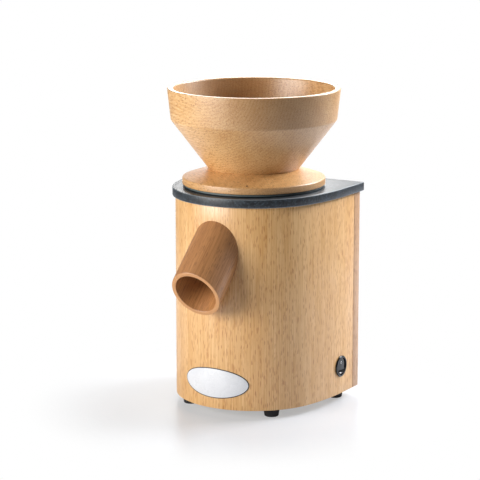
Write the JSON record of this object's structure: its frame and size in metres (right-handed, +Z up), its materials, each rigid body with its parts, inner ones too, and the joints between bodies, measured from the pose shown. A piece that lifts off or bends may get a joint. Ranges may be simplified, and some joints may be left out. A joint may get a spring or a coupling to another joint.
{
  "type": "electric grain mill",
  "caption": "Electric grain mill: wooden casing with a round nose and sloping flour spout, a turned hopper that screws to set the millstones, and a side rocker switch.",
  "frame": {"origin": "on the floor, under the middle of the outline's bounding box", "axes": "+Z up, -Y towards the rounded nose and the spout, +X towards the switch side"},
  "size_m": [0.198, 0.2416, 0.3661],
  "materials": {
    "casing_beech": "oiled beech, vertical grain",
    "panel_beech": "oiled beech",
    "batten_beech": "planed, untreated",
    "base_plywood": "plywood, untreated",
    "plate_linoleum": "mottled dark blue-grey, satin",
    "spout_beech": "turned and oiled, darker",
    "hopper_beech": "turned and oiled",
    "foot_rubber": "matt",
    "badge_film": "white, blank",
    "zinc_screws": "bright zinc",
    "chamber_casting": "cast, matt",
    "shield_casting": "cast, matt",
    "lamination_steel": "stacked sheet",
    "copper_winding": "varnished copper wire",
    "bearing_steel": "ground",
    "shaft_steel": "turned",
    "capacitor_can": "drawn can",
    "block_plastic": "moulded",
    "switch_plastic": "moulded, glossy black",
    "rocker_plastic": "moulded, glossy black",
    "terminal_brass": "stamped",
    "lead_insulation": "extruded",
    "bushing_plastic": "moulded",
    "fan_plastic": "moulded",
    "carrier_casting": "machined",
    "upper_carrier_plastic": "moulded, dark grey",
    "corundum_stone": "ceramic-bound corundum",
    "seal_felt": "pressed felt",
    "throat_steel": "stainless",
    "dot_ink": "dark"
  },
  "bodies": {
    "housing": {"body_shell": "casing_beech", "rear_panel": "panel_beech", "rear_battens": "batten_beech", "base_board": "base_plywood", "top_plate": "plate_linoleum", "rear_panel_screws": "zinc_screws", "rubber_feet": "foot_rubber", "foot_screws": "zinc_screws", "name_badge": "badge_film", "spout": "spout_beech", "milling_chamber": "chamber_casting", "chamber_screws": "zinc_screws", "motor_upper_shield": "shield_casting", "motor_lower_shield": "shield_casting", "stator_core": "lamination_steel", "stator_windings": "copper_winding", "motor_bolts": "zinc_screws", "motor_mount_screws": "zinc_screws", "bearing_outer_rings": "bearing_steel", "bearing_balls": "bearing_steel", "run_capacitor": "capacitor_can", "terminal_block": "block_plastic", "switch_body": "switch_plastic", "switch_terminals": "terminal_brass", "internal_leads": "lead_insulation", "cord_bushing": "bushing_plastic", "bushing_nut": "bushing_plastic"},
    "rotor": {"motor_shaft": "shaft_steel", "rotor_core": "lamination_steel", "rotor_end_rings": "shield_casting", "bearing_inner_rings": "bearing_steel", "cooling_fan": "fan_plastic", "lower_stone_carrier": "carrier_casting", "lower_millstone": "corundum_stone", "lower_stone_screws": "zinc_screws", "shaft_key": "shaft_steel", "carrier_washer": "zinc_screws", "carrier_nut": "zinc_screws"},
    "seal": {"dust_seal": "seal_felt"},
    "hopper": {"hopper_funnel": "hopper_beech", "hopper_base": "hopper_beech", "throat_tube": "throat_steel", "throat_guard": "throat_steel", "setting_dot": "dot_ink", "upper_stone_carrier": "upper_carrier_plastic", "upper_millstone": "corundum_stone", "upper_stone_screws": "zinc_screws", "hopper_screws": "zinc_screws"},
    "rocker": {"switch_rocker": "rocker_plastic"}
  },
  "joints": [
    {"name": "rotor_spin", "type": "hinge", "parent": "housing", "child": "rotor", "pos_m": [0, 0.02176, 0.15], "axis": [0, 0, 1], "continuous": true},
    {"name": "hopper_rise", "type": "slide", "parent": "housing", "child": "seal", "axis": [0, 0, 1], "range_m": [0, 0.00276]},
    {"name": "hopper_turn", "type": "hinge", "parent": "seal", "child": "hopper", "pos_m": [0, 0.02176, 0.24], "axis": [0, 0, 1], "range_deg": [0, 330]},
    {"name": "switch_rock", "type": "hinge", "parent": "housing", "child": "rocker", "pos_m": [0.094, 0.05936, 0.043], "axis": [0, 1, 0], "range_deg": [0, 16]}
  ],
  "couplings": [
    {"joint": "hopper_rise", "follows": "hopper_turn", "m_per_rad": 0.00047746}
  ]
}
